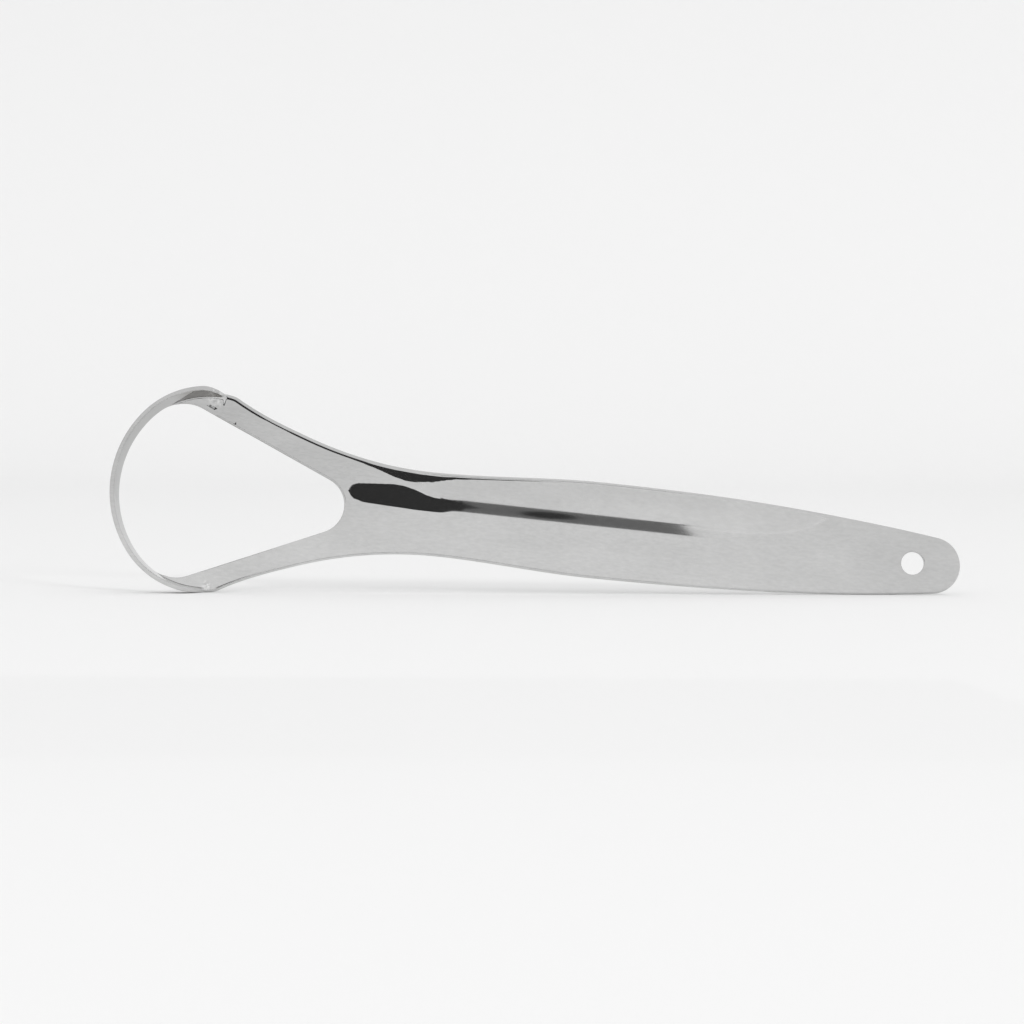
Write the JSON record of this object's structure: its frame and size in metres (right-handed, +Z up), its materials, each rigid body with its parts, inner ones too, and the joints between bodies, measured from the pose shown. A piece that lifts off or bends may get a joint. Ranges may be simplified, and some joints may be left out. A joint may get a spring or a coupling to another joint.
{
  "type": "tongue scraper",
  "caption": "Steel tongue scraper pressed from one sheet: a dished handle with a hanging hole forks into arms that carry a loop with a flared scraping band.",
  "frame": {"origin": "centre of the bottom face of the part's box, on the floor that the scraper stands on", "axes": "+X from the loop to the end of the handle, +Z up as the scraper stands on its long edge, -Y towards the side that the scraping band stands on"},
  "size_m": [0.1494, 0.0096, 0.0361],
  "materials": {
    "steel": "polished stainless steel sheet with fine scratches"
  },
  "bodies": {
    "root": {"handle": "steel", "upper_arm": "steel", "lower_arm": "steel", "scraping_band": "steel"}
  },
  "joints": []
}
